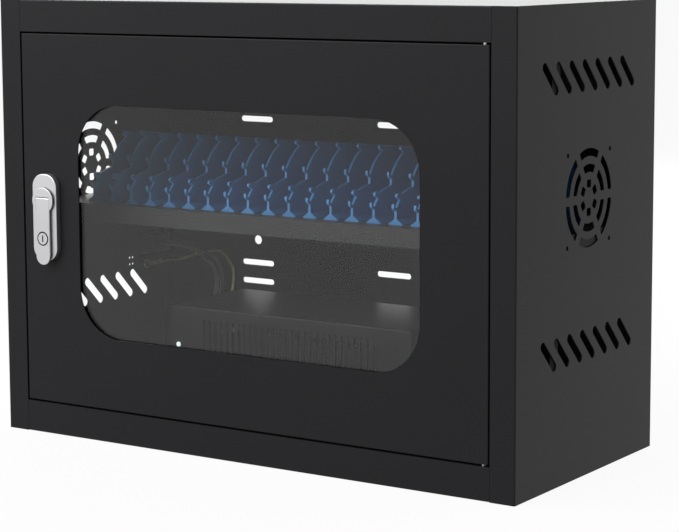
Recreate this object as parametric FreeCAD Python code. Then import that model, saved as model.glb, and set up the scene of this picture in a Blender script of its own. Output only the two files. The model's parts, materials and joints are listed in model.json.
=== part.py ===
import FreeCAD, Part
import math
import os

os.makedirs("parts", exist_ok=True)

# Sizes in millimetres, Z up, the front of the cabinet toward -Y

# Cabinet shell
cabinet_width = 580.0
cabinet_depth = 270.0
cabinet_height = 430.0
sheet = 1.2
post_width = 25.0
strip_height = 31.0
lip_depth = 15.0
seam_gap = 0.3
bend_round = 1.5
back_flange_depth = 15.0

# Slanted side vents
vent_count = 7
vent_pitch = 25.0
vent_width = 8.5
vent_run = 29.5
vent_slope = 45.0
vent_upper_drop = 64.5
vent_lower_height = 121.3

# Fan grilles in the side panels
fan_above_middle = 11.6
fan_ring_width = 7.3
fan_ring_radii = (27.0, 41.3)
fan_core_radius = 12.9
fan_core_width = 8.2
fan_core_round = 1.8
fan_spoke_width = 8.0
fan_corner_round = 1.2
fan_screw_spacing = 82.5
fan_screw_hole_radius = 2.15

# Slots and holes in the back panel
back_slot_length = 41.0
back_slot_width = 6.0
back_slot_spacing = 172.0
back_slot_upper_height = 298.0
back_slot_middle_height = 143.4
back_slot_lower_height = 123.4
back_hole_radius = 4.8
back_hole_height = 168.0

# Upright rails
rail_set_back = 65.0
rail_width = 15.0
rail_leg = 25.0

# Shelf
shelf_top = 224.7
shelf_lip_height = 18.0
shelf_side_flange = 14.0
shelf_rear_gap = 30.0
shelf_notch_room = 0.6
shelf_screw_radius = 2.5
shelf_screw_head_radius = 4.6
shelf_screw_head_height = 2.6
shelf_screw_head_round = 1.3
shelf_screw_length = 9.0
shelf_screw_rise = 9.0
shelf_screw_spread = 10.0
shelf_screw_room = 0.1

# Dividers
divider_side_room = 40.0
divider_pitch = 24.0
divider_thickness = 2.5
divider_set_back = 15.7
divider_length = 125.0
divider_top = 72.5
divider_rear_round = 12.0
divider_rear_drop = 13.5
lower_hook_up = 13.1
lower_nose_back = 6.6
lower_nose_up = 22.8
tread_back = 30.2
tread_up = 33.1
upper_hook_up = 38.9
upper_nose_back = 52.6
upper_nose_drop = 10.5
tread_bow = 0.65
riser_bow = 2.0
crown_bow = 1.4
divider_foot_width = 15.5
divider_foot_height = 5.5
divider_foot_edge = 1.0
peg_length = 14.0
peg_drop = 2.0
peg_inset = 18.0
peg_room = 0.2

# Charger
charger_width = 280.0
charger_depth = 120.0
charger_top = 128.0
charger_foot_height = 4.0
charger_foot_radius = 8.0
charger_foot_inset = 16.0
charger_vent_count = 29
charger_vent_pitch = 7.1
charger_vent_width = 3.0
charger_vent_drop = 12.0
charger_vent_length = 70.0
lamp_radius = 2.5
lamp_inset = 9.0
lamp_drop = 39.0
lamp_proud = 1.0
lamp_round = 0.8
lamp_flange = 1.0
lamp_room = 0.05
lamp_body_length = 6.0
port_columns = 10
port_rows = 2
port_pitch = 20.0
port_row_pitch = 14.0
port_width = 12.5
port_height = 5.1
port_depth = 11.0
port_tongue_width = 11.1
port_tongue_thickness = 1.9
port_tongue_length = 8.8
port_tongue_lift = 0.9
port_strip_height = 70.0
port_border = 4.0
port_flange = 4.0
port_flange_thickness = 2.0
port_room = 0.2

# Power inlet and leads
inlet_from_rear = 43.0
inlet_height = 163.0
inlet_width = 27.0
inlet_tall = 19.6
inlet_body_depth = 20.0
inlet_wall = 2.0
inlet_flange = 3.0
inlet_flange_thickness = 2.0
inlet_room = 0.2
inlet_cavity_depth = 16.0
inlet_pin_thickness = 2.0
inlet_pin_width = 4.0
inlet_pin_length = 12.0
inlet_pin_spacing = 7.0
inlet_pin_step = 2.0
grey_lead_radius = 2.2
grey_lead_spacing = 8.0
earth_lead_radius = 1.3
gland_radius = 6.0
gland_collar = 5.0
gland_neck_radius = 4.0
gland_neck_length = 4.0
gland_first_place = 24.0
gland_pitch = 14.0
gland_height = 88.0
gland_room = 0.05
pinhole_radius = 1.4
pinhole_from_rear = 72.4
pinhole_height = 145.2
pinhole_across = 5.0
pinhole_up = 7.0

# Earth terminal
earth_from_rear = 47.0
earth_below_inlet = 24.0
earth_screw_radius = 2.0
earth_screw_head_radius = 3.8
earth_screw_head_height = 2.4
terminal_thickness = 0.8
terminal_ring_radius = 4.6
terminal_tongue_width = 4.0
terminal_sleeve_radius = 2.8
terminal_sleeve_start = 5.0
terminal_sleeve_length = 20.0
terminal_room = 0.1

# Door
door_gap = 1.8
door_past_lip = 2.0
door_round = 1.0
window_side_border = 69.2
window_low_border = 69.8
window_high_border = 67.4
window_round = 48.0
seal_inset = 3.0
seal_width = 11.0
seal_thickness = 1.0
pane_thickness = 3.0

# Hinge
hinge_from_edge = 6.7
hinge_behind_front = 5.0
hinge_pin_radius = 2.0
hinge_pin_room = 0.05
hinge_pin_reach = 4.0
hinge_pin_inside = 16.0
hinge_collar_radius = 3.2
hinge_collar_height = 3.0
hinge_bracket_width = 12.0
hinge_bracket_drop = 12.0

# Lock
lock_from_edge = 30.7
lock_axis_height = 234.5
lock_base_width = 30.0
lock_base_below = 59.5
lock_base_above = 26.0
lock_base_round = 13.0
lock_base_rim_round = 1.0
lock_base_thickness = 6.5
rotor_radius = 12.8
rotor_waist_radius = 12.0
rotor_rim_round = 0.5
rotor_recess_room = 0.4
rotor_recess_depth = 4.0
rotor_floor_room = 0.1
lock_neck_radius = 11.0
lock_neck_length = 9.0
lock_hole_room = 0.2
lock_nut_across = 27.0
lock_nut_thickness = 4.0
lock_nut_room = 0.05
lock_peg_radius = 2.0
lock_peg_below = 49.0
lock_peg_length = 4.0
spindle_radius = 6.0
spindle_room = 0.05
spindle_square = 8.0
cam_room = 0.1
cam_thickness = 2.5
cam_width = 20.0
cam_reach = 45.0
cam_round = 8.0
cam_behind_door = 0.8
cam_screw_radius = 2.0
cam_screw_head_radius = 5.5
cam_screw_head_height = 3.0
cam_screw_length = 10.0
lever_width = 17.0
lever_thickness = 2.8
lever_above_base = 0.3
lever_below = 63.0
lever_lip = 1.4
lever_lip_overhang = 1.2
lever_round = 8.1
lever_line_above_axis = 3.5
lever_side_room = 0.2
lever_root_room = 0.35
lever_floor_room = 0.4
lever_pin_radius = 0.6
lever_pin_room = 0.05
lever_pin_inset = 1.6
key_plug_radius = 7.0
key_plug_step = 1.0
key_plug_room = 0.05
key_plug_below = 37.4
key_plug_rim = 1.4
key_plug_lift = 0.2
key_plug_chamfer = 0.4
key_slot_width = 1.6
key_slot_height = 6.7
key_slot_depth = 1.8

# Planes that follow from the sizes above
half_width = cabinet_width / 2
front = -cabinet_depth / 2
rear = cabinet_depth / 2
wall_inside = half_width - sheet
skin_inside = front + sheet
back_inside = rear - sheet
roof_inside = cabinet_height - sheet
cut_length = 4 * sheet
vent_upper_height = cabinet_height - vent_upper_drop
fan_height = (vent_upper_height + vent_lower_height) / 2 + fan_above_middle
inlet_place = rear - inlet_from_rear
earth_place = rear - earth_from_rear
earth_height = inlet_height - earth_below_inlet
pinhole_place = rear - pinhole_from_rear
opening_half = half_width - post_width
opening_low = strip_height
opening_high = cabinet_height - strip_height
rail_front = front + rail_set_back
shelf_front = rail_front - sheet
shelf_rear = back_inside - shelf_rear_gap
shelf_under = shelf_top - sheet
door_half = opening_half - door_gap
door_low = opening_low + door_gap
door_high = opening_high - door_gap
door_rear = front + lip_depth + door_past_lip
hinge_side = door_half - hinge_from_edge
hinge_depth = front + hinge_behind_front
hinge_hole_radius = hinge_pin_radius + hinge_pin_room
lock_side = -door_half + lock_from_edge

X_AXIS = FreeCAD.Vector(1, 0, 0)
Y_AXIS = FreeCAD.Vector(0, 1, 0)
Z_AXIS = FreeCAD.Vector(0, 0, 1)


def vec(x, y, z):
    return FreeCAD.Vector(x, y, z)


def block(x0, x1, y0, y1, z0, z1):
    return Part.makeBox(x1 - x0, y1 - y0, z1 - z0, vec(x0, y0, z0))


def rod(radius, x, y, z, axis, length):
    return Part.makeCylinder(radius, length, vec(x, y, z), axis)


def join(shapes):
    whole = shapes[0].multiFuse(shapes[1:]) if len(shapes) > 1 else shapes[0]
    return whole.removeSplitter()


def save(name, shape):
    shape.exportStep("parts/" + name + ".step")
    print(name, "solids", len(shape.Solids), "valid", shape.isValid(), "volume", round(shape.Volume, 1))


def mirrored(shape):
    return shape.mirror(vec(0, 0, 0), X_AXIS)


def anywhere(point):
    return True


def edges_along(shape, axis, test=anywhere):
    found = []
    for edge in shape.Edges:
        if len(edge.Vertexes) < 2:
            continue
        a = edge.Vertexes[0].Point
        b = edge.Vertexes[1].Point
        run = b.sub(a)
        if run.Length < 1e-6 or run.cross(axis).Length > 1e-6 * run.Length:
            continue
        if test(a.add(b).multiply(0.5)):
            found.append(edge)
    return found


def front_edges(shape, depth):
    return [edge for edge in shape.Edges if edge.BoundBox.YMax < depth + 0.01]


def rounded_plate(width, height, radius, x, z, y0, y1):
    plate = block(x - width / 2, x + width / 2, y0, y1, z - height / 2, z + height / 2)
    return plate.makeFillet(radius, edges_along(plate, Y_AXIS))


# Side panels
def vent_cutter(place, height):
    angle = math.radians(vent_slope)
    dy = 0.5 * vent_run * math.cos(angle)
    dz = 0.5 * vent_run * math.sin(angle)
    left = wall_inside - sheet
    upper = rod(vent_width / 2, left, place - dy, height + dz, X_AXIS, cut_length)
    lower = rod(vent_width / 2, left, place + dy, height - dz, X_AXIS, cut_length)
    middle = Part.makeBox(cut_length, vent_run, vent_width, vec(left, -vent_run / 2, -vent_width / 2))
    middle.rotate(vec(0, 0, 0), X_AXIS, -vent_slope)
    middle.translate(vec(0, place, height))
    return join([upper, lower, middle])


def fan_ring_cutters(middle_radius):
    left = wall_inside - sheet
    outer = rod(middle_radius + fan_ring_width / 2, left, 0, fan_height, X_AXIS, cut_length)
    inner = rod(middle_radius - fan_ring_width / 2, left, 0, fan_height, X_AXIS, cut_length)
    ring = outer.cut(inner)
    reach = middle_radius + fan_ring_width
    for turn in range(3):
        spoke = block(left, left + cut_length, -reach, reach, -fan_spoke_width / 2, fan_spoke_width / 2)
        spoke.rotate(vec(0, 0, 0), X_AXIS, 60.0 * turn)
        spoke.translate(vec(0, 0, fan_height))
        ring = ring.cut(spoke)
    pieces = []
    for solid in ring.Solids:
        pieces.append(solid.makeFillet(fan_corner_round, edges_along(solid, X_AXIS)))
    return pieces


def fan_core_cutters():
    left = wall_inside - sheet
    low = fan_core_radius - fan_ring_width / 2
    high = fan_core_radius + fan_ring_width / 2
    pieces = []
    for turn in range(6):
        hole = block(left, left + cut_length, -fan_core_width / 2, fan_core_width / 2, low, high)
        hole = hole.makeFillet(fan_core_round, edges_along(hole, X_AXIS))
        hole.rotate(vec(0, 0, 0), X_AXIS, 60.0 * turn)
        hole.translate(vec(0, 0, fan_height))
        pieces.append(hole)
    return pieces


def right_side():
    wall = block(wall_inside, half_width, front, rear, 0, cabinet_height)
    post = block(opening_half, half_width, front, skin_inside, 0, cabinet_height)
    lip = block(opening_half, opening_half + sheet, front, front + lip_depth, sheet, roof_inside)
    panel = join([wall, post, lip])
    corner = edges_along(panel, Z_AXIS, lambda p: p.x > half_width - 0.01 and p.y < front + 0.01)
    panel = panel.makeFillet(bend_round, corner)
    cutters = []
    for row_height in (vent_upper_height, vent_lower_height):
        for number in range(vent_count):
            place = (number - (vent_count - 1) / 2) * vent_pitch
            cutters.append(vent_cutter(place, row_height))
    for middle_radius in fan_ring_radii:
        cutters.extend(fan_ring_cutters(middle_radius))
    cutters.extend(fan_core_cutters())
    start = wall_inside - sheet
    for dy in (-fan_screw_spacing / 2, fan_screw_spacing / 2):
        for dz in (-fan_screw_spacing / 2, fan_screw_spacing / 2):
            cutters.append(rod(fan_screw_hole_radius, start, dy, fan_height + dz, X_AXIS, cut_length))
    return panel.cut(cutters)


right_panel = right_side()
save("right_side_panel", right_panel)

inlet_cut = block(
    -half_width - sheet,
    -wall_inside + sheet,
    inlet_place - inlet_width / 2,
    inlet_place + inlet_width / 2,
    inlet_height - inlet_tall / 2,
    inlet_height + inlet_tall / 2,
)
outside_left = -half_width - sheet
left_cutters = [inlet_cut]
earth_hole_radius = earth_screw_radius + terminal_room
left_cutters.append(rod(earth_hole_radius, outside_left, earth_place, earth_height, X_AXIS, cut_length))
for across in (-pinhole_across / 2, pinhole_across / 2):
    for up in (-pinhole_up / 2, pinhole_up / 2):
        y = pinhole_place + across
        z = pinhole_height + up
        left_cutters.append(rod(pinhole_radius, outside_left, y, z, X_AXIS, cut_length))
left_panel = mirrored(right_panel).cut(left_cutters)
save("left_side_panel", left_panel)


# Top and bottom panels
def cross_panel():
    plate = block(-wall_inside, wall_inside, skin_inside, rear, 0, sheet)
    fold = block(-opening_half + seam_gap, opening_half - seam_gap, front, skin_inside, 0, strip_height)
    lip = block(
        -opening_half + seam_gap,
        opening_half - seam_gap,
        front,
        front + lip_depth,
        strip_height - sheet,
        strip_height,
    )
    panel = join([plate, fold, lip])
    edge = edges_along(panel, X_AXIS, lambda p: p.y < front + 0.01 and p.z < 0.01)
    panel = panel.makeFillet(bend_round, edge)
    hole = rod(hinge_hole_radius, hinge_side, hinge_depth, strip_height - 2 * sheet, Z_AXIS, cut_length)
    return panel.cut(hole)


bottom_panel = cross_panel()
top_panel = bottom_panel.mirror(vec(0, 0, cabinet_height / 2), Z_AXIS)
save("bottom_panel", bottom_panel)
save("top_panel", top_panel)


# Back panel
def back_slot(x, z):
    run = back_slot_length - back_slot_width
    half = back_slot_width / 2
    start = back_inside - sheet
    left = rod(half, x - run / 2, start, z, Y_AXIS, cut_length)
    right = rod(half, x + run / 2, start, z, Y_AXIS, cut_length)
    middle = block(x - run / 2, x + run / 2, start, start + cut_length, z - half, z + half)
    return join([left, right, middle])


flange_front = back_inside - back_flange_depth
back_plate = block(-wall_inside, wall_inside, back_inside, rear, sheet, roof_inside)
back_left = block(-wall_inside, -wall_inside + sheet, flange_front, back_inside, sheet, roof_inside)
back_right = block(wall_inside - sheet, wall_inside, flange_front, back_inside, sheet, roof_inside)
back_panel = join([back_plate, back_left, back_right])
back_cutters = []
for side in (-1, 0, 1):
    back_cutters.append(back_slot(side * back_slot_spacing, back_slot_upper_height))
    back_cutters.append(back_slot(side * back_slot_spacing, back_slot_middle_height))
for side in (-1, 1):
    back_cutters.append(back_slot(side * back_slot_spacing, back_slot_lower_height))
    x = side * back_slot_spacing
    back_cutters.append(rod(back_hole_radius, x, back_inside - sheet, back_hole_height, Y_AXIS, cut_length))
back_panel = back_panel.cut(back_cutters)
save("back_panel", back_panel)


# Upright rails and the screws that hold the shelf to them
screw_height = shelf_top - shelf_screw_rise
screw_middle = wall_inside - rail_leg / 2
screw_sides = (screw_middle - shelf_screw_spread / 2, screw_middle + shelf_screw_spread / 2)
screw_hole_radius = shelf_screw_radius + shelf_screw_room


def screw_holes():
    holes = []
    start = shelf_front - sheet
    for x in screw_sides:
        for side in (-1, 1):
            holes.append(rod(screw_hole_radius, side * x, start, screw_height, Y_AXIS, cut_length))
    return holes


rail_rear = rail_front + rail_width
rail_wall_leg = block(wall_inside - sheet, wall_inside, rail_front, rail_rear, sheet, roof_inside)
rail_face_leg = block(wall_inside - rail_leg, wall_inside, rail_front, rail_front + sheet, sheet, roof_inside)
right_rail = join([rail_wall_leg, rail_face_leg]).cut(screw_holes())
save("right_rail", right_rail)
save("left_rail", mirrored(right_rail))

screws = []
for x in screw_sides:
    for side in (-1, 1):
        head = rod(
            shelf_screw_head_radius,
            side * x,
            shelf_front - shelf_screw_head_height,
            screw_height,
            Y_AXIS,
            shelf_screw_head_height,
        )
        rim = front_edges(head, shelf_front - shelf_screw_head_height)
        head = head.makeFillet(shelf_screw_head_round, rim)
        shank = rod(shelf_screw_radius, side * x, shelf_front, screw_height, Y_AXIS, shelf_screw_length)
        screws.append(join([head, shank]))
save("shelf_screws", Part.makeCompound(screws))


# Shelf with a peg hole pair under every divider
divider_front = shelf_front + divider_set_back
dividers_each_side = int((wall_inside - divider_side_room) / divider_pitch)
divider_places = [number * divider_pitch for number in range(-dividers_each_side, dividers_each_side + 1)]
peg_starts = (divider_front + peg_inset, divider_front + divider_length - peg_inset - peg_length)

shelf_plate = block(-wall_inside, wall_inside, shelf_front, shelf_rear, shelf_under, shelf_top)
lip_low = shelf_top - shelf_lip_height
shelf_lip = block(-wall_inside + sheet, wall_inside - sheet, shelf_front, rail_front, lip_low, shelf_top)
flange_start = rail_rear + shelf_notch_room
flange_low = shelf_top - shelf_side_flange
shelf_left = block(-wall_inside, -wall_inside + sheet, flange_start, shelf_rear, flange_low, shelf_top)
shelf_right = block(wall_inside - sheet, wall_inside, flange_start, shelf_rear, flange_low, shelf_top)
shelf_back = block(-wall_inside, wall_inside, shelf_rear - sheet, shelf_rear, flange_low, shelf_top)
shelf = join([shelf_plate, shelf_lip, shelf_left, shelf_right, shelf_back])
shelf_cutters = screw_holes()
for side in (-1, 1):
    face_notch = block(
        wall_inside - rail_leg - shelf_notch_room,
        wall_inside + sheet,
        rail_front,
        rail_front + sheet + shelf_notch_room,
        lip_low - sheet,
        shelf_top + sheet,
    )
    wall_notch = block(
        wall_inside - sheet - shelf_notch_room,
        wall_inside + sheet,
        shelf_front - sheet,
        flange_start,
        lip_low - sheet,
        shelf_top + sheet,
    )
    for notch in (face_notch, wall_notch):
        shelf_cutters.append(notch if side > 0 else mirrored(notch))
for place in divider_places:
    half_peg = divider_thickness / 2 + peg_room
    for start in peg_starts:
        shelf_cutters.append(
            block(
                place - half_peg,
                place + half_peg,
                start - peg_room,
                start + peg_length + peg_room,
                shelf_under - sheet,
                shelf_top + sheet,
            )
        )
shelf = shelf.cut(shelf_cutters)
save("shelf", shelf)


# Divider outline, as distance behind its front edge and height above the shelf
def hook_points(back, up):
    stem = [(0, 0), (-2.7, 0.9), (-4.8, 3.0)]
    tip = [(-4.8, 5.2), (-3.4, 6.9), (-2.0, 5.3)]
    throat = [(-1.8, 4.0), (-0.1, 2.7), (1.5, 4.0)]
    return [(back + dy, up + dz) for dy, dz in stem + tip + throat]


def nose_points(back, up):
    offsets = [(0, 0), (-4.1, 2.1), (-5.5, 4.1), (-3.8, 6.1), (-0.3, 6.5), (3.0, 5.0)]
    return [(back + dy, up + dz) for dy, dz in offsets]


def divider_edges(x):
    def at(point):
        return vec(x, divider_front + point[0], shelf_top + point[1])

    def line(a, b):
        return Part.makeLine(at(a), at(b))

    def bow(a, b, c):
        return Part.Arc(at(a), at(b), at(c)).toShape()

    def arch(a, b, rise):
        run = math.hypot(b[0] - a[0], b[1] - a[1])
        middle_back = (a[0] + b[0]) / 2 - rise * (b[1] - a[1]) / run
        middle_up = (a[1] + b[1]) / 2 + rise * (b[0] - a[0]) / run
        return bow(a, (middle_back, middle_up), b)

    def hook(points):
        first = bow(points[0], points[1], points[2])
        tip = bow(points[3], points[4], points[5])
        last = bow(points[6], points[7], points[8])
        return [first, line(points[2], points[3]), tip, line(points[5], points[6]), last]

    def nose(points):
        tip = bow(points[1], points[2], points[3])
        return [line(points[0], points[1]), tip, bow(points[3], points[4], points[5])]

    turn = divider_rear_round
    slant = turn * (1 - math.sqrt(0.5))
    end = divider_length
    top = divider_top
    low_hook = hook_points(0, lower_hook_up)
    low_nose = nose_points(lower_nose_back, lower_nose_up)
    tread_end = (tread_back, tread_up)
    high_hook = hook_points(tread_back, upper_hook_up)
    high_nose = nose_points(upper_nose_back, top - upper_nose_drop)
    rear_top = top - divider_rear_drop
    rear_round_start = (end - turn, rear_top)
    rear_round_end = (end, rear_top - turn)
    edges = [line((0, 0), low_hook[0])]
    edges.extend(hook(low_hook))
    edges.append(line(low_hook[-1], low_nose[0]))
    edges.extend(nose(low_nose))
    edges.append(arch(low_nose[-1], tread_end, tread_bow))
    edges.append(line(tread_end, high_hook[0]))
    edges.extend(hook(high_hook))
    edges.append(arch(high_hook[-1], high_nose[0], riser_bow))
    edges.extend(nose(high_nose))
    edges.append(arch(high_nose[-1], rear_round_start, crown_bow))
    edges.append(bow(rear_round_start, (end - slant, rear_top - slant), rear_round_end))
    edges.append(line(rear_round_end, (end, 0)))
    edges.append(line((end, 0), (0, 0)))
    return edges


def divider(x):
    half = divider_thickness / 2
    outline = Part.Wire(divider_edges(x - half))
    plate = Part.Face(outline).extrude(vec(divider_thickness, 0, 0))
    wide = divider_foot_width / 2
    low = shelf_top
    foot_points = [
        vec(x - wide, divider_front, low),
        vec(x + wide, divider_front, low),
        vec(x + wide, divider_front, low + divider_foot_edge),
        vec(x + half, divider_front, low + divider_foot_height),
        vec(x - half, divider_front, low + divider_foot_height),
        vec(x - wide, divider_front, low + divider_foot_edge),
        vec(x - wide, divider_front, low),
    ]
    foot = Part.Face(Part.makePolygon(foot_points)).extrude(vec(0, divider_length, 0))
    bodies = [plate, foot]
    for start in peg_starts:
        bodies.append(block(x - half, x + half, start, start + peg_length, shelf_under - peg_drop, shelf_top))
    return join(bodies)


for number, place in enumerate(divider_places):
    save("divider_%02d" % (number + 1), divider(place))


# Charger
charger_half = charger_width / 2
charger_front = -charger_depth / 2
charger_rear = charger_depth / 2
charger_low = sheet + charger_foot_height
charger_vent_top = charger_top - charger_vent_drop
lamp_side = -charger_half + lamp_inset
lamp_height = charger_top - lamp_drop
port_field_width = (port_columns - 1) * port_pitch + port_width
port_field_height = (port_rows - 1) * port_row_pitch + port_height
port_cut_half = port_field_width / 2 + port_border
port_cut_rise = port_field_height / 2 + port_border
gland_places = [gland_first_place + number * gland_pitch for number in range(3)]

cover_outer = block(-charger_half, charger_half, charger_front, charger_rear, charger_low, charger_top)
cover_rims = edges_along(cover_outer, X_AXIS, lambda p: p.z > charger_top - 0.01)
cover_outer = cover_outer.makeFillet(bend_round, cover_rims)
cover_inner = block(
    -charger_half + sheet,
    charger_half - sheet,
    charger_front + sheet,
    charger_rear - sheet,
    charger_low - sheet,
    charger_top - sheet,
)
cover_cutters = [cover_inner]
for number in range(charger_vent_count):
    x = (number - (charger_vent_count - 1) / 2) * charger_vent_pitch
    cover_cutters.append(
        block(
            x - charger_vent_width / 2,
            x + charger_vent_width / 2,
            charger_front - sheet,
            charger_front + 2 * sheet,
            charger_vent_top - charger_vent_length,
            charger_vent_top,
        )
    )
cover_cutters.append(
    block(
        -port_cut_half,
        port_cut_half,
        charger_rear - 2 * sheet,
        charger_rear + sheet,
        port_strip_height - port_cut_rise,
        port_strip_height + port_cut_rise,
    )
)
cover_cutters.append(
    rod(lamp_radius + lamp_room, lamp_side, charger_front - sheet, lamp_height, Y_AXIS, cut_length)
)
for place in gland_places:
    cover_cutters.append(
        rod(gland_neck_radius + gland_room, -charger_half - sheet, place, gland_height, X_AXIS, cut_length)
    )
save("charger_cover", cover_outer.cut(cover_cutters))
save(
    "charger_base",
    block(
        -charger_half + sheet,
        charger_half - sheet,
        charger_front + sheet,
        charger_rear - sheet,
        charger_low,
        charger_low + sheet,
    ),
)

feet = []
for x in (-charger_half + charger_foot_inset, charger_half - charger_foot_inset):
    for y in (charger_front + charger_foot_inset, charger_rear - charger_foot_inset):
        feet.append(rod(charger_foot_radius, x, y, sheet, Z_AXIS, charger_foot_height))
save("charger_feet", Part.makeCompound(feet))

lamp_face = charger_front - lamp_proud
lamp_stem = rod(lamp_radius, lamp_side, lamp_face, lamp_height, Y_AXIS, lamp_proud + lamp_body_length)
lamp_stem = lamp_stem.makeFillet(lamp_round, front_edges(lamp_stem, lamp_face))
lamp_back = rod(lamp_radius + lamp_flange, lamp_side, charger_front + sheet, lamp_height, Y_AXIS, lamp_flange)
save("charger_lamp", join([lamp_stem, lamp_back]))

strip_body = block(
    -port_cut_half + port_room,
    port_cut_half - port_room,
    charger_rear - port_depth - port_flange_thickness,
    charger_rear,
    port_strip_height - port_cut_rise + port_room,
    port_strip_height + port_cut_rise - port_room,
)
strip_flange = block(
    -port_cut_half - port_flange,
    port_cut_half + port_flange,
    charger_rear - sheet - port_flange_thickness,
    charger_rear - sheet,
    port_strip_height - port_cut_rise - port_flange,
    port_strip_height + port_cut_rise + port_flange,
)
port_floor = charger_rear - port_depth
port_cutters = []
port_tongues = []
for column in range(port_columns):
    for row in range(port_rows):
        x = (column - (port_columns - 1) / 2) * port_pitch
        z = port_strip_height + (row - (port_rows - 1) / 2) * port_row_pitch
        port_cutters.append(
            block(
                x - port_width / 2,
                x + port_width / 2,
                port_floor,
                charger_rear + sheet,
                z - port_height / 2,
                z + port_height / 2,
            )
        )
        tongue_low = z + port_tongue_lift - port_tongue_thickness / 2
        port_tongues.append(
            block(
                x - port_tongue_width / 2,
                x + port_tongue_width / 2,
                port_floor,
                port_floor + port_tongue_length,
                tongue_low,
                tongue_low + port_tongue_thickness,
            )
        )
port_strip = join([strip_body, strip_flange]).cut(port_cutters)
save("charger_port_strip", join([port_strip] + port_tongues))


# Power inlet in the left wall
inlet_inner = -wall_inside
inlet_back = inlet_inner + inlet_body_depth
inlet_body = block(
    -half_width,
    inlet_back,
    inlet_place - inlet_width / 2 + inlet_room,
    inlet_place + inlet_width / 2 - inlet_room,
    inlet_height - inlet_tall / 2 + inlet_room,
    inlet_height + inlet_tall / 2 - inlet_room,
)
inlet_plate = block(
    inlet_inner,
    inlet_inner + inlet_flange_thickness,
    inlet_place - inlet_width / 2 - inlet_flange,
    inlet_place + inlet_width / 2 + inlet_flange,
    inlet_height - inlet_tall / 2 - inlet_flange,
    inlet_height + inlet_tall / 2 + inlet_flange,
)
cavity_floor = -half_width + inlet_cavity_depth
inlet_cavity = block(
    -half_width - sheet,
    cavity_floor,
    inlet_place - inlet_width / 2 + inlet_room + inlet_wall,
    inlet_place + inlet_width / 2 - inlet_room - inlet_wall,
    inlet_height - inlet_tall / 2 + inlet_room + inlet_wall,
    inlet_height + inlet_tall / 2 - inlet_room - inlet_wall,
)
save("power_inlet", join([inlet_body, inlet_plate]).cut(inlet_cavity))

inlet_pins = []
for number in (-1, 0, 1):
    pin_y = inlet_place + number * inlet_pin_spacing
    pin_z = inlet_height + (inlet_pin_step if number == 0 else -inlet_pin_step)
    inlet_pins.append(
        block(
            cavity_floor - inlet_pin_length,
            cavity_floor,
            pin_y - inlet_pin_thickness / 2,
            pin_y + inlet_pin_thickness / 2,
            pin_z - inlet_pin_width / 2,
            pin_z + inlet_pin_width / 2,
        )
    )
save("inlet_pins", Part.makeCompound(inlet_pins))


# Glands in the left end of the charger
glands = []
for place in gland_places:
    collar = rod(gland_radius, -charger_half - gland_collar, place, gland_height, X_AXIS, gland_collar)
    neck = rod(gland_neck_radius, -charger_half, place, gland_height, X_AXIS, gland_neck_length)
    bore_start = -charger_half - gland_collar - sheet
    bore_length = gland_collar + gland_neck_length + 2 * sheet
    bore = rod(grey_lead_radius + gland_room, bore_start, place, gland_height, X_AXIS, bore_length)
    glands.append(join([collar, neck]).cut(bore))
save("lead_glands", Part.makeCompound(glands))


# Leads, as straight runs joined by tangent arcs
def lead(name, points, radius):
    edges = []
    radii = []
    start = points[0]
    for number in range(1, len(points) - 1):
        corner = points[number]
        before = points[number - 1].sub(corner)
        after = points[number + 1].sub(corner)
        reach = 0.45 * min(before.Length, after.Length)
        before.normalize()
        after.normalize()
        half_turn = (math.pi - before.getAngle(after)) / 2
        bend = reach / math.tan(half_turn)
        middle = before.add(after)
        middle.normalize()
        arc_start = corner.add(vec(before.x * reach, before.y * reach, before.z * reach))
        arc_end = corner.add(vec(after.x * reach, after.y * reach, after.z * reach))
        lift = bend / math.cos(half_turn) - bend
        arc_middle = corner.add(vec(middle.x * lift, middle.y * lift, middle.z * lift))
        edges.append(Part.makeLine(start, arc_start))
        edges.append(Part.Arc(arc_start, arc_middle, arc_end).toShape())
        radii.append(round(bend / (2 * radius), 1))
        start = arc_end
    edges.append(Part.makeLine(start, points[-1]))
    path = Part.Wire(edges)
    ring = Part.makeCircle(radius, points[0], points[1].sub(points[0]))
    tube = path.makePipeShell([Part.Wire(ring)], True, False)
    share = tube.Volume / (math.pi * radius * radius * path.Length)
    print(name, "length", round(path.Length, 1), "bends in diameters", radii, "volume share", round(share, 4))
    save(name, tube)


lead_end = -charger_half + gland_neck_length
gland_mouth = -charger_half - gland_collar
grey_start = inlet_back
grey_front = inlet_place - grey_lead_spacing / 2
grey_rear = inlet_place + grey_lead_spacing / 2
lead(
    "grey_lead_front",
    [
        vec(grey_start, grey_front, inlet_height),
        vec(grey_start + 40.8, grey_front, inlet_height),
        vec(gland_mouth - 17, grey_front - 34, inlet_height - 19),
        vec(gland_mouth - 15, gland_places[0], gland_height),
        vec(lead_end, gland_places[0], gland_height),
    ],
    grey_lead_radius,
)
lead(
    "grey_lead_rear",
    [
        vec(grey_start, grey_rear, inlet_height),
        vec(grey_start + 32.8, grey_rear, inlet_height),
        vec(gland_mouth - 26, grey_rear - 22, inlet_height - 11),
        vec(gland_mouth - 14, gland_places[1], gland_height),
        vec(lead_end, gland_places[1], gland_height),
    ],
    grey_lead_radius,
)

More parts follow.
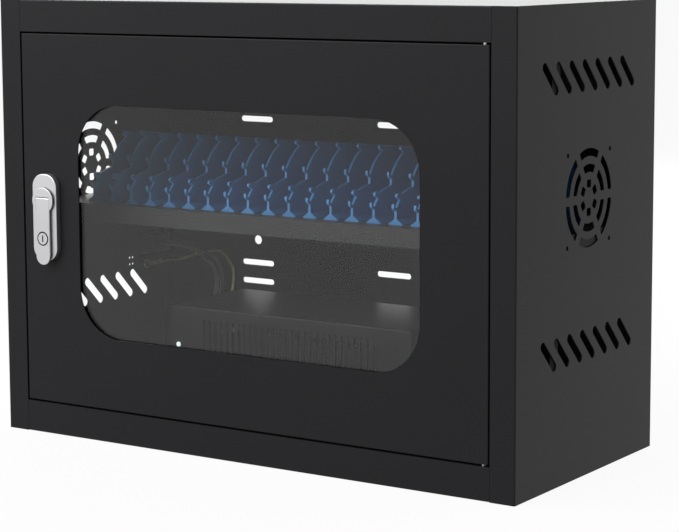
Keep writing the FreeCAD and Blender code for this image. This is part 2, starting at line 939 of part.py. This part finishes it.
sleeve_side = -wall_inside + terminal_sleeve_radius + terminal_room
sleeve_start = earth_place + terminal_sleeve_start
sleeve_end = sleeve_start + terminal_sleeve_length
lead(
    "earth_lead",
    [
        vec(sleeve_side, sleeve_end, earth_height),
        vec(sleeve_side, sleeve_end + 12, earth_height),
        vec(sleeve_side + 14, sleeve_end + 17.6, earth_height + 1.5),
        vec(gland_mouth - 99, sleeve_end + 8, earth_height + 11),
        vec(gland_mouth - 55, sleeve_end - 7, earth_height + 20),
        vec(gland_mouth - 7, gland_places[2] + 16, earth_height + 4),
        vec(gland_mouth - 14, gland_places[2], gland_height),
        vec(lead_end, gland_places[2], gland_height),
    ],
    earth_lead_radius,
)

terminal_ring = rod(terminal_ring_radius, -wall_inside, earth_place, earth_height, X_AXIS, terminal_thickness)
terminal_tongue = block(
    -wall_inside,
    -wall_inside + terminal_thickness,
    earth_place,
    sleeve_start + terminal_sleeve_radius,
    earth_height - terminal_tongue_width / 2,
    earth_height + terminal_tongue_width / 2,
)
terminal_sleeve = rod(
    terminal_sleeve_radius, sleeve_side, sleeve_start, earth_height, Y_AXIS, terminal_sleeve_length
)
terminal_hole = rod(earth_hole_radius, -half_width, earth_place, earth_height, X_AXIS, cut_length)
save("earth_terminal", join([terminal_ring, terminal_tongue, terminal_sleeve]).cut(terminal_hole))

head_start = -wall_inside + terminal_thickness
head_height = earth_screw_head_height
earth_head = rod(earth_screw_head_radius, head_start, earth_place, earth_height, X_AXIS, head_height)
shank_length = head_start + half_width
earth_shank = rod(earth_screw_radius, -half_width, earth_place, earth_height, X_AXIS, shank_length)
save("earth_screw", join([earth_head, earth_shank]))


# Door
door_outer = block(-door_half, door_half, front, door_rear, door_low, door_high)
door_edges = []
for edge in door_outer.Edges:
    if edge.BoundBox.YMin < front + 0.01:
        door_edges.append(edge)
door_outer = door_outer.makeFillet(door_round, door_edges)
door_inner = block(
    -door_half + sheet,
    door_half - sheet,
    skin_inside,
    door_rear + sheet,
    door_low + sheet,
    door_high - sheet,
)
window_width = 2 * (door_half - window_side_border)
window_low = door_low + window_low_border
window_high = door_high - window_high_border
window_height = window_high - window_low
window_middle = (window_low + window_high) / 2
lock_peg_height = lock_axis_height - lock_peg_below
door_cutters = [
    door_inner,
    rounded_plate(window_width, window_height, window_round, 0, window_middle, front - sheet, skin_inside),
    rod(lock_neck_radius + lock_hole_room, lock_side, front - sheet, lock_axis_height, Y_AXIS, cut_length),
    rod(lock_peg_radius + lock_hole_room, lock_side, front - sheet, lock_peg_height, Y_AXIS, cut_length),
    rod(hinge_hole_radius, hinge_side, hinge_depth, door_high - 2 * sheet, Z_AXIS, cut_length),
    rod(hinge_hole_radius, hinge_side, hinge_depth, door_low - sheet, Z_AXIS, cut_length),
]
save("door_panel", door_outer.cut(door_cutters))

seal_rear = skin_inside + seal_thickness
seal_grow = seal_inset + seal_width
pane_width = window_width + 2 * seal_grow
pane_height = window_height + 2 * seal_grow
pane_round = window_round + seal_grow
seal_outer = rounded_plate(pane_width, pane_height, pane_round, 0, window_middle, skin_inside, seal_rear)
seal_inner = rounded_plate(
    window_width + 2 * seal_inset,
    window_height + 2 * seal_inset,
    window_round + seal_inset,
    0,
    window_middle,
    skin_inside - sheet,
    seal_rear + sheet,
)
save("window_seal", seal_outer.cut(seal_inner))
pane_rear = seal_rear + pane_thickness
pane = rounded_plate(pane_width, pane_height, pane_round, 0, window_middle, seal_rear, pane_rear)
save("window_pane", pane)


# Hinge pins and the brackets that hold them inside the door
flange_inside = door_high - sheet
pin_foot = flange_inside - hinge_pin_inside
pin_top = opening_high + sheet + hinge_pin_reach
collar_low = flange_inside - hinge_collar_height
hinge_pin = rod(hinge_pin_radius, hinge_side, hinge_depth, pin_foot, Z_AXIS, pin_top - pin_foot)
hinge_collar = rod(hinge_collar_radius, hinge_side, hinge_depth, collar_low, Z_AXIS, hinge_collar_height)
hinge_pin_top = join([hinge_pin, hinge_collar])
leaf_top = flange_inside - hinge_bracket_drop
leaf_side = door_half - sheet
bracket_leaf = block(
    hinge_side - hinge_bracket_width / 2,
    leaf_side,
    skin_inside,
    hinge_depth + hinge_bracket_width / 2,
    leaf_top - sheet,
    leaf_top,
)
bracket_leg = block(
    hinge_side - hinge_bracket_width / 2,
    leaf_side,
    skin_inside,
    skin_inside + sheet,
    leaf_top - hinge_bracket_width,
    leaf_top,
)
bracket_hole = rod(hinge_hole_radius, hinge_side, hinge_depth, leaf_top - 2 * sheet, Z_AXIS, cut_length)
hinge_bracket_top = join([bracket_leaf, bracket_leg]).cut(bracket_hole)
door_middle = vec(0, 0, (door_low + door_high) / 2)
save("hinge_pin_top", hinge_pin_top)
save("hinge_pin_bottom", hinge_pin_top.mirror(door_middle, Z_AXIS))
save("hinge_bracket_top", hinge_bracket_top)
save("hinge_bracket_bottom", hinge_bracket_top.mirror(door_middle, Z_AXIS))


# Lock base and nut
base_face = front - lock_base_thickness
base_middle = lock_axis_height + (lock_base_above - lock_base_below) / 2
base_height = lock_base_above + lock_base_below
lock_plate = rounded_plate(
    lock_base_width, base_height, lock_base_round, lock_side, base_middle, base_face, front
)
lock_plate = lock_plate.makeFillet(lock_base_rim_round, front_edges(lock_plate, base_face))
recess_floor = base_face + rotor_recess_depth
lock_neck = rod(lock_neck_radius, lock_side, front, lock_axis_height, Y_AXIS, lock_neck_length)
lock_peg = rod(lock_peg_radius, lock_side, front, lock_peg_height, Y_AXIS, lock_peg_length)
recess = rod(
    rotor_waist_radius + rotor_recess_room,
    lock_side,
    base_face - sheet,
    lock_axis_height,
    Y_AXIS,
    rotor_recess_depth + sheet,
)
spindle_bore = rod(
    spindle_radius + spindle_room,
    lock_side,
    base_face - sheet,
    lock_axis_height,
    Y_AXIS,
    lock_base_thickness + lock_neck_length + 2 * sheet,
)
save("lock_base", join([lock_plate, lock_neck, lock_peg]).cut([recess, spindle_bore]))

hex_radius = lock_nut_across / 2 / math.cos(math.pi / 6)
hex_points = []
for number in range(7):
    angle = math.radians(60 * number)
    across = hex_radius * math.cos(angle)
    up = hex_radius * math.sin(angle)
    hex_points.append(vec(lock_side + across, skin_inside, lock_axis_height + up))
hex_plate = Part.Face(Part.makePolygon(hex_points)).extrude(vec(0, lock_nut_thickness, 0))
nut_bore = rod(
    lock_neck_radius + lock_nut_room,
    lock_side,
    skin_inside - sheet,
    lock_axis_height,
    Y_AXIS,
    lock_nut_thickness + 2 * sheet,
)
save("lock_nut", hex_plate.cut(nut_bore))


# Lock rotor, lever pin, cam and cam screw
lever_rear = base_face - lever_above_base
lever_front = lever_rear - lever_thickness
lever_middle = (lever_rear + lever_front) / 2
rotor_rear = recess_floor - rotor_floor_room
root_radius = lever_thickness / 2
line_height = lock_axis_height + lever_line_above_axis
pivot_height = line_height - lever_root_room - root_radius
cam_front = door_rear + cam_behind_door
cam_rear = cam_front + cam_thickness
slot_half = lever_width / 2 + lever_side_room

disc = rod(rotor_radius, lock_side, lever_front, lock_axis_height, Y_AXIS, lever_lip)
disc = disc.makeFillet(rotor_rim_round, front_edges(disc, lever_front))
lip_rear = lever_front + lever_lip
waist = rod(rotor_waist_radius, lock_side, lip_rear, lock_axis_height, Y_AXIS, rotor_rear - lip_rear)
spindle = rod(spindle_radius, lock_side, rotor_rear, lock_axis_height, Y_AXIS, cam_front - rotor_rear)
square_half = spindle_square / 2
square = block(
    lock_side - square_half,
    lock_side + square_half,
    cam_front,
    cam_rear - cam_room,
    lock_axis_height - square_half,
    lock_axis_height + square_half,
)
lever_slot = block(
    lock_side - slot_half,
    lock_side + slot_half,
    lever_front - sheet,
    lever_rear + lever_floor_room,
    lock_axis_height - 2 * rotor_radius,
    line_height,
)
pivot_hole = rod(
    lever_pin_radius + lever_pin_room,
    lock_side - rotor_radius,
    lever_middle,
    pivot_height,
    X_AXIS,
    2 * rotor_radius,
)
screw_bore = rod(
    cam_screw_radius + cam_room,
    lock_side,
    cam_rear - cam_screw_length - sheet,
    lock_axis_height,
    Y_AXIS,
    cam_screw_length + 2 * sheet,
)
save("lock_rotor", join([disc, waist, spindle, square]).cut([lever_slot, pivot_hole, screw_bore]))

pin_half = math.sqrt(rotor_waist_radius ** 2 - (pivot_height - lock_axis_height) ** 2) - lever_pin_inset
pin_start = lock_side - pin_half
save("lever_pin", rod(lever_pin_radius, pin_start, lever_middle, pivot_height, X_AXIS, 2 * pin_half))

cam_low = lock_axis_height - cam_width / 2
cam_high = lock_axis_height + cam_reach
cam_plate = rounded_plate(
    cam_width,
    cam_high - cam_low,
    cam_round,
    lock_side,
    (cam_low + cam_high) / 2,
    cam_front,
    cam_rear,
)
cam_hole_half = square_half + cam_room
cam_hole = block(
    lock_side - cam_hole_half,
    lock_side + cam_hole_half,
    cam_front - sheet,
    cam_rear + sheet,
    lock_axis_height - cam_hole_half,
    lock_axis_height + cam_hole_half,
)
save("lock_cam", cam_plate.cut(cam_hole))

cam_head = rod(cam_screw_head_radius, lock_side, cam_rear, lock_axis_height, Y_AXIS, cam_screw_head_height)
shank_start = cam_rear - cam_screw_length
cam_shank = rod(cam_screw_radius, lock_side, shank_start, lock_axis_height, Y_AXIS, cam_screw_length)
save("cam_screw", join([cam_head, cam_shank]))


# Lock lever and key plug
lever_half = lever_width / 2
lever_low = lock_axis_height - lever_below
key_plug_height = lock_axis_height - key_plug_below
lever_plate = block(
    lock_side - lever_half,
    lock_side + lever_half,
    lever_front,
    lip_rear,
    lever_low,
    pivot_height,
)
lever_ends = edges_along(lever_plate, Y_AXIS, lambda p: p.z < lever_low + 0.01)
lever_plate = lever_plate.makeFillet(lever_round, lever_ends)
core_half = lever_half - lever_lip_overhang
core_low = lever_low + lever_lip_overhang
lever_core = block(
    lock_side - core_half,
    lock_side + core_half,
    lip_rear,
    lever_rear,
    core_low,
    pivot_height,
)
core_ends = edges_along(lever_core, Y_AXIS, lambda p: p.z < core_low + 0.01)
lever_core = lever_core.makeFillet(lever_round - lever_lip_overhang, core_ends)
lever_root = rod(root_radius, lock_side - lever_half, lever_middle, pivot_height, X_AXIS, lever_width)
lever_body = join([lever_plate, lever_core, lever_root])
plug_seat = lever_front + key_plug_rim
lever_outside = lever_front - sheet
rim_radius = key_plug_radius + key_plug_room
neck_radius = rim_radius - key_plug_step
rim_seat = rod(rim_radius, lock_side, lever_outside, key_plug_height, Y_AXIS, plug_seat - lever_outside)
neck_length = lever_thickness + 2 * sheet
neck_seat = rod(neck_radius, lock_side, lever_outside, key_plug_height, Y_AXIS, neck_length)
save("lock_lever", lever_body.cut([pivot_hole, rim_seat, neck_seat]))

plug_face = lever_front - key_plug_lift
plug_step = plug_seat - key_plug_room
plug_front = rod(key_plug_radius, lock_side, plug_face, key_plug_height, Y_AXIS, plug_step - plug_face)
plug_front = plug_front.makeChamfer(key_plug_chamfer, front_edges(plug_front, plug_face))
plug_back = rod(
    key_plug_radius - key_plug_step,
    lock_side,
    plug_step,
    key_plug_height,
    Y_AXIS,
    lever_rear - plug_seat,
)
key_slot = block(
    lock_side - key_slot_width / 2,
    lock_side + key_slot_width / 2,
    plug_face - sheet,
    plug_face + key_slot_depth,
    key_plug_height - key_slot_height / 2,
    key_plug_height + key_slot_height / 2,
)
save("key_plug", join([plug_front, plug_back]).cut(key_slot))
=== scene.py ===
import bpy
import json
import math
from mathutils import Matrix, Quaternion, Vector


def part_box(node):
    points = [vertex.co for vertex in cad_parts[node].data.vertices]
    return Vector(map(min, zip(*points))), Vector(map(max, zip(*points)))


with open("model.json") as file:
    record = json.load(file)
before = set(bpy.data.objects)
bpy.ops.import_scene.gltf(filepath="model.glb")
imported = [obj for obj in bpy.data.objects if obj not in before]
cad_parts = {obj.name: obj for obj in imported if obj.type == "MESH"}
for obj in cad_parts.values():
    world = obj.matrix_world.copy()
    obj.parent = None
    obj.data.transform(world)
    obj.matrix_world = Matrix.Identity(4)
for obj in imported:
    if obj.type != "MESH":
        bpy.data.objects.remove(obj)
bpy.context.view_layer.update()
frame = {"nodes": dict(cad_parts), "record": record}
scene = bpy.context.scene
scene.view_settings.view_transform = "Standard"

# Camera, fitted to the corners of the cabinet in the photograph
IMAGE_WIDTH = 679
SENSOR_WIDTH = 36.0
FOCAL_PIXELS = 2154.0
CAMERA_PLACE = Vector((1.1653, -1.7291, 0.4818))
CAMERA_AZIMUTH = math.radians(33.502)
CAMERA_ELEVATION = math.radians(7.284)
CAMERA_ROLL = math.radians(-0.254)
CENTRE_RISE_PIXELS = 46.0

# White studio, with the lamps turned to the middle of the cabinet
BACKGROUND = 1.0
AMBIENT = 0.20
FLOOR_SIZE = 40.0
FLOOR_GLOW = 0.93
FLOOR_COLOUR = (0.82, 0.82, 0.82, 1.0)
LAMP_TARGET = Vector((0.0, 0.0, 0.25))

# Noise behind each finish: broad patches of colour, fine grain of gloss and relief
PATCH_SCALE = 9.0
PATCH_DETAIL = 3.0
GRAIN_DETAIL = 2.0
NOISE_LOW = 0.3
NOISE_HIGH = 0.7
RELIEF_DEPTH = 0.0004
PAINT_GRAIN = 1400.0
EVEN = (1.0, 1.0, 1.0)
BRUSHED = (1.0, 1.0, 0.08)

# Darker and lighter colour of each finish
CABINET_BLACK = ((0.0122, 0.0122, 0.0136), (0.0132, 0.0132, 0.0146))
# The shelf is coloured lighter than the cabinet black
SHELF_LIGHTER_TONE = ((0.031, 0.031, 0.0325), (0.034, 0.034, 0.0355))
# Painted shade: a near-black copy of the cabinet paint for parts inside the cabinet
INNER_PAINTED_SHADE = ((0.0016, 0.0016, 0.0017), (0.0024, 0.0024, 0.0025))
CHARGER_BLACK = ((0.005, 0.005, 0.0053), (0.0065, 0.0065, 0.0068))
RUBBER_BLACK = ((0.008, 0.008, 0.008), (0.014, 0.014, 0.014))
PLASTIC_BLACK = ((0.010, 0.010, 0.011), (0.015, 0.015, 0.016))
DIVIDER_BLUE = ((0.034, 0.185, 0.42), (0.040, 0.20, 0.455))
PANE_CLEAR = ((0.97, 0.98, 0.98), (0.99, 1.0, 1.0))
LENS_WHITE = ((0.70, 0.74, 0.74), (0.80, 0.84, 0.84))
CHROME = ((0.48, 0.48, 0.49), (0.53, 0.53, 0.54))
ZINC = ((0.48, 0.48, 0.49), (0.60, 0.60, 0.60))
BRASS = ((0.62, 0.50, 0.26), (0.70, 0.58, 0.32))
LEAD_GREY = ((0.16, 0.16, 0.16), (0.20, 0.20, 0.20))
EARTH_STRIPES = ((0.70, 0.72, 0.28), (0.86, 0.82, 0.42))

# Painted shade: dark strips at the shelf ends, dark inner face of the back panel, dark crevices and key
# plug rim on the lock
SHELF_END_WIDTH = 0.003
SHELF_END_PAINTED_SHADE = (0.0015, 0.0015, 0.0016, 1.0)
BACK_SKIN = 0.0004
BACK_INSIDE_PAINTED_SHADE = (0.002, 0.002, 0.0021, 1.0)
CREVICE_PAINTED_SHADE = (0.02, 0.02, 0.022, 1.0)
CREVICE_SHADE_REACH = 0.0014
KEY_RIM_SHADE_WIDTH = 0.0013


def make_camera():
    data = bpy.data.cameras.new("camera")
    data.sensor_width = SENSOR_WIDTH
    data.lens = SENSOR_WIDTH * FOCAL_PIXELS / IMAGE_WIDTH
    data.shift_y = -CENTRE_RISE_PIXELS / IMAGE_WIDTH
    camera = bpy.data.objects.new("camera", data)
    scene.collection.objects.link(camera)
    level = math.cos(CAMERA_ELEVATION)
    back = Vector((
        math.sin(CAMERA_AZIMUTH) * level,
        -math.cos(CAMERA_AZIMUTH) * level,
        math.sin(CAMERA_ELEVATION),
    ))
    camera.location = CAMERA_PLACE
    camera.rotation_mode = "QUATERNION"
    aim = (-back).to_track_quat("-Z", "Y")
    camera.rotation_quaternion = aim @ Quaternion((0, 0, 1), CAMERA_ROLL)
    scene.camera = camera


# Small helpers for node trees
def add(tree, kind, **settings):
    made = tree.nodes.new(kind)
    for name, value in settings.items():
        setattr(made, name, value)
    return made


def link(tree, output, socket):
    tree.links.new(output, socket)


def larger(tree, first, second):
    pick = add(tree, "ShaderNodeMath", operation="MAXIMUM")
    link(tree, first, pick.inputs[0])
    link(tree, second, pick.inputs[1])
    return pick.outputs["Value"]


def compare(tree, operation, value, limit):
    test = add(tree, "ShaderNodeMath", operation=operation)
    test.inputs[1].default_value = limit
    link(tree, value, test.inputs[0])
    return test.outputs["Value"]


def object_place(tree):
    return add(tree, "ShaderNodeTexCoord").outputs["Object"]


def object_axes(tree):
    axes = add(tree, "ShaderNodeSeparateXYZ")
    link(tree, object_place(tree), axes.inputs["Vector"])
    return axes.outputs


def background_rays(tree):
    path = add(tree, "ShaderNodeLightPath")
    mirrored = larger(tree, path.outputs["Is Glossy Ray"], path.outputs["Is Transmission Ray"])
    return larger(tree, path.outputs["Is Camera Ray"], mirrored)


def object_noise(tree, scale, detail=PATCH_DETAIL, stretch=EVEN):
    mapping = add(tree, "ShaderNodeMapping")
    mapping.inputs["Scale"].default_value = stretch
    texture = add(tree, "ShaderNodeTexNoise")
    texture.inputs["Scale"].default_value = scale
    texture.inputs["Detail"].default_value = detail
    link(tree, object_place(tree), mapping.inputs["Vector"])
    link(tree, mapping.outputs["Vector"], texture.inputs["Vector"])
    return texture.outputs["Fac"]


def colours_between(tree, factor, colours, low=NOISE_LOW, high=NOISE_HIGH):
    ramp = add(tree, "ShaderNodeValToRGB")
    for element, position, colour in zip(ramp.color_ramp.elements, (low, high), colours):
        element.position = position
        element.color = (*colour, 1.0)
    link(tree, factor, ramp.inputs["Fac"])
    return ramp.outputs["Color"]


def values_between(tree, factor, values):
    spread = add(tree, "ShaderNodeMapRange")
    spread.inputs["From Min"].default_value = NOISE_LOW
    spread.inputs["From Max"].default_value = NOISE_HIGH
    spread.inputs["To Min"].default_value = values[0]
    spread.inputs["To Max"].default_value = values[1]
    link(tree, factor, spread.inputs["Value"])
    return spread.outputs["Result"]


def relief(tree, height, strength, depth=RELIEF_DEPTH):
    bump = add(tree, "ShaderNodeBump")
    bump.inputs["Strength"].default_value = strength
    bump.inputs["Distance"].default_value = depth
    link(tree, height, bump.inputs["Height"])
    return bump.outputs["Normal"]


def mix_surfaces(tree, share, first, second):
    mix = add(tree, "ShaderNodeMixShader")
    link(tree, share, mix.inputs["Fac"])
    link(tree, first, mix.inputs[1])
    link(tree, second, mix.inputs[2])
    link(tree, mix.outputs["Shader"], tree.nodes["Material Output"].inputs["Surface"])


def new_material(name):
    material = bpy.data.materials.new(name)
    material.use_nodes = True
    tree = material.node_tree
    return material, tree, tree.nodes["Principled BSDF"]


def finish(name, colours, rough, grain, bump, specular=0.5, metallic=0.0, stretch=EVEN):
    material, tree, shader = new_material(name)
    patches = object_noise(tree, PATCH_SCALE)
    fine = object_noise(tree, grain, GRAIN_DETAIL, stretch)
    link(tree, colours_between(tree, patches, colours), shader.inputs["Base Color"])
    link(tree, values_between(tree, fine, rough), shader.inputs["Roughness"])
    link(tree, relief(tree, fine, bump), shader.inputs["Normal"])
    shader.inputs["Specular IOR Level"].default_value = specular
    shader.inputs["Metallic"].default_value = metallic
    return material


# Painted shade: mixes a dark shade colour into the base colour wherever the unshaded share is low
def darken(material, unshaded_share, shade_colour):
    tree = material.node_tree
    base = tree.nodes["Principled BSDF"].inputs["Base Color"]
    shade = add(tree, "ShaderNodeMix", data_type="RGBA")
    shade.inputs["A"].default_value = shade_colour
    link(tree, unshaded_share, shade.inputs["Factor"])
    link(tree, base.links[0].from_socket, shade.inputs["B"])
    link(tree, shade.outputs["Result"], base)


# Paints
def powder_coat():
    return finish("black_powder_coat", CABINET_BLACK, (0.34, 0.39), PAINT_GRAIN, bump=0.03, specular=0.10)


def shelf_coat():
    material = finish("shelf_coat", SHELF_LIGHTER_TONE, (0.36, 0.42), PAINT_GRAIN, bump=0.03, specular=0.06)
    tree = material.node_tree
    from_middle = add(tree, "ShaderNodeMath", operation="ABSOLUTE")
    link(tree, object_axes(tree)["X"], from_middle.inputs[0])
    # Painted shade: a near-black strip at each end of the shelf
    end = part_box("shelf")[1].x - SHELF_END_WIDTH
    between_ends = compare(tree, "LESS_THAN", from_middle.outputs["Value"], end)
    darken(material, between_ends, SHELF_END_PAINTED_SHADE)
    return material


# Painted shade: the cabinet paint made near black, for the rails inside the cabinet
def painted_shade_coat():
    return finish("painted_shade_coat", INNER_PAINTED_SHADE, (0.5, 0.6), PAINT_GRAIN, bump=0.03, specular=0.05)


def back_coat():
    material = finish("back_coat", CABINET_BLACK, (0.34, 0.39), PAINT_GRAIN, bump=0.03, specular=0.05)
    tree = material.node_tree
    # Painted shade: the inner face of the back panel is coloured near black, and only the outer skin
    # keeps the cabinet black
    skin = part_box("back_panel")[1].y - BACK_SKIN
    outside = compare(tree, "GREATER_THAN", object_axes(tree)["Y"], skin)
    darken(material, outside, BACK_INSIDE_PAINTED_SHADE)
    return material


def charger_coat():
    return finish("charger_coat", CHARGER_BLACK, (0.32, 0.38), PAINT_GRAIN, bump=0.02, specular=0.12)


# Plastics and rubber
def blue_plastic():
    material = finish("blue_plastic", DIVIDER_BLUE, (0.32, 0.42), grain=700.0, bump=0.03, specular=0.4)
    shader = material.node_tree.nodes["Principled BSDF"]
    shader.inputs["Subsurface Weight"].default_value = 0.05
    shader.inputs["Subsurface Radius"].default_value = (0.001, 0.002, 0.004)
    return material


def black_plastic():
    return finish("black_plastic", PLASTIC_BLACK, (0.3, 0.4), grain=800.0, bump=0.05)


def black_rubber():
    return finish("black_rubber", RUBBER_BLACK, (0.6, 0.75), grain=900.0, bump=0.1, specular=0.3)


def clear_pane():
    material, tree, shader = new_material("clear_pane")
    smear = object_noise(tree, scale=14.0)
    link(tree, colours_between(tree, smear, PANE_CLEAR), shader.inputs["Base Color"])
    link(tree, values_between(tree, smear, (0.0, 0.015)), shader.inputs["Roughness"])
    shader.inputs["Transmission Weight"].default_value = 1.0
    shader.inputs["IOR"].default_value = 1.35
    # Light from the lamps and from lit surfaces passes the pane unbent
    path = add(tree, "ShaderNodeLightPath")
    lighting_rays = larger(tree, path.outputs["Is Shadow Ray"], path.outputs["Is Diffuse Ray"])
    unbent = add(tree, "ShaderNodeBsdfTransparent")
    mix_surfaces(tree, lighting_rays, shader.outputs["BSDF"], unbent.outputs["BSDF"])
    return material


def lamp_lens():
    material = finish("lamp_lens", LENS_WHITE, (0.15, 0.25), grain=400.0, bump=0.02)
    shader = material.node_tree.nodes["Principled BSDF"]
    shader.inputs["Emission Color"].default_value = (0.85, 0.95, 1.0, 1.0)
    shader.inputs["Emission Strength"].default_value = 0.6
    return material


def grey_jacket():
    return finish("grey_jacket", LEAD_GREY, (0.4, 0.5), grain=900.0, bump=0.03)


def striped_jacket():
    material, tree, shader = new_material("yellow_green_jacket")
    bands = add(tree, "ShaderNodeTexWave", bands_direction="DIAGONAL")
    bands.inputs["Scale"].default_value = 60.0
    link(tree, object_place(tree), bands.inputs["Vector"])
    stripes = colours_between(tree, bands.outputs["Fac"], EARTH_STRIPES, low=0.25, high=0.45)
    link(tree, stripes, shader.inputs["Base Color"])
    grain = object_noise(tree, scale=900.0)
    link(tree, values_between(tree, grain, (0.35, 0.45)), shader.inputs["Roughness"])
    link(tree, relief(tree, grain, strength=0.03, depth=0.0003), shader.inputs["Normal"])
    return material


# Metals
def satin_chrome(name):
    material = finish(name, CHROME, (0.36, 0.44), grain=500.0, bump=0.03, metallic=1.0)
    tree = material.node_tree
    # Painted shade: ambient occlusion darkens the crevices and gaps of the lock
    crevice_shade = add(tree, "ShaderNodeAmbientOcclusion", samples=16)
    crevice_shade.inputs["Distance"].default_value = CREVICE_SHADE_REACH
    open_share = add(tree, "ShaderNodeMapRange")
    open_share.inputs["From Min"].default_value = 0.5
    open_share.inputs["From Max"].default_value = 0.92
    link(tree, crevice_shade.outputs["AO"], open_share.inputs["Value"])
    darken(material, open_share.outputs["Result"], CREVICE_PAINTED_SHADE)
    return material


def key_plug_chrome():
    material = satin_chrome("key_plug_chrome")
    tree = material.node_tree
    low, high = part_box("key_plug")
    centre = (low + high) / 2
    radius = (high.x - low.x) / 2
    flat = add(tree, "ShaderNodeVectorMath", operation="MULTIPLY")
    flat.inputs[1].default_value = (1.0, 0.0, 1.0)
    link(tree, object_place(tree), flat.inputs[0])
    reach = add(tree, "ShaderNodeVectorMath", operation="DISTANCE")
    reach.inputs[1].default_value = (centre.x, 0.0, centre.z)
    link(tree, flat.outputs["Vector"], reach.inputs[0])
    # Painted shade: a dark ring at the rim of the key plug, in place of the shade in its gap to the lock
    # body
    inside = compare(tree, "LESS_THAN", reach.outputs["Value"], radius - KEY_RIM_SHADE_WIDTH)
    darken(material, inside, CREVICE_PAINTED_SHADE)
    return material


def zinc_steel():
    return finish("zinc_steel", ZINC, (0.28, 0.42), grain=300.0, bump=0.05, metallic=1.0, stretch=BRUSHED)


def pin_brass():
    return finish("pin_brass", BRASS, (0.25, 0.35), grain=300.0, bump=0.04, metallic=1.0)


def make_finishes():
    return {
        "black_paint": powder_coat(),
        "charger_paint": charger_coat(),
        "blue_plastic": blue_plastic(),
        "clear_pane": clear_pane(),
        "black_rubber": black_rubber(),
        "black_plastic": black_plastic(),
        "satin_chrome": satin_chrome("satin_chrome"),
        "zinc_steel": zinc_steel(),
        "pin_brass": pin_brass(),
        "lamp_plastic": lamp_lens(),
        "grey_jacket": grey_jacket(),
        "yellow_green_jacket": striped_jacket(),
    }


def dress_nodes():
    finishes = make_finishes()
    # The rails take the painted-shade copy of the black paint
    rail_painted_shade = painted_shade_coat()
    special = {
        "left_rail": rail_painted_shade,
        "right_rail": rail_painted_shade,
        "back_panel": back_coat(),
        "shelf": shelf_coat(),
        "key_plug": key_plug_chrome(),
    }
    for part in frame["record"]["subparts"]:
        name = part["node"]
        materials = frame["nodes"][name].data.materials
        materials.clear()
        materials.append(special.get(name, finishes[part["material_slot"]]))


def make_world():
    world = bpy.data.worlds.new("studio")
    scene.world = world
    world.use_nodes = True
    tree = world.node_tree
    tree.nodes.clear()
    strength = add(tree, "ShaderNodeMix", data_type="FLOAT")
    strength.inputs["A"].default_value = AMBIENT
    strength.inputs["B"].default_value = BACKGROUND
    link(tree, background_rays(tree), strength.inputs["Factor"])
    sky = add(tree, "ShaderNodeBackground")
    sky.inputs["Color"].default_value = (1.0, 1.0, 1.0, 1.0)
    link(tree, strength.outputs["Result"], sky.inputs["Strength"])
    output = add(tree, "ShaderNodeOutputWorld")
    link(tree, sky.outputs["Background"], output.inputs["Surface"])


def make_floor():
    half = FLOOR_SIZE / 2
    mesh = bpy.data.meshes.new("floor")
    corners = [(-half, -half, 0), (half, -half, 0), (half, half, 0), (-half, half, 0)]
    mesh.from_pydata(corners, [], [(0, 1, 2, 3)])
    floor = bpy.data.objects.new("floor", mesh)
    scene.collection.objects.link(floor)
    material, tree, shader = new_material("pale_floor")
    shader.inputs["Base Color"].default_value = FLOOR_COLOUR
    shader.inputs["Roughness"].default_value = 0.9
    shader.inputs["Specular IOR Level"].default_value = 0.1
    glow = add(tree, "ShaderNodeEmission")
    glow.inputs["Strength"].default_value = BACKGROUND
    share = add(tree, "ShaderNodeMath", operation="MULTIPLY")
    share.inputs[1].default_value = FLOOR_GLOW
    link(tree, background_rays(tree), share.inputs[0])
    mix_surfaces(tree, share.outputs["Value"], shader.outputs["BSDF"], glow.outputs["Emission"])
    mesh.materials.append(material)


def area_light(name, place, size, power):
    data = bpy.data.lights.new(name, "AREA")
    data.shape = "SQUARE"
    data.size = size
    data.energy = power
    lamp = bpy.data.objects.new(name, data)
    scene.collection.objects.link(lamp)
    lamp.location = place
    aim = LAMP_TARGET - Vector(place)
    lamp.rotation_mode = "QUATERNION"
    lamp.rotation_quaternion = aim.to_track_quat("-Z", "Y")


def make_lights():
    area_light("key", place=(-1.1, -1.85, 1.95), size=3.2, power=105.0)
    area_light("side", place=(1.15, 0.95, 1.4), size=1.0, power=7.0)
    area_light("rear", place=(-0.9, 2.0, 1.5), size=2.6, power=44.0)


make_camera()
make_world()
make_floor()
make_lights()
dress_nodes()
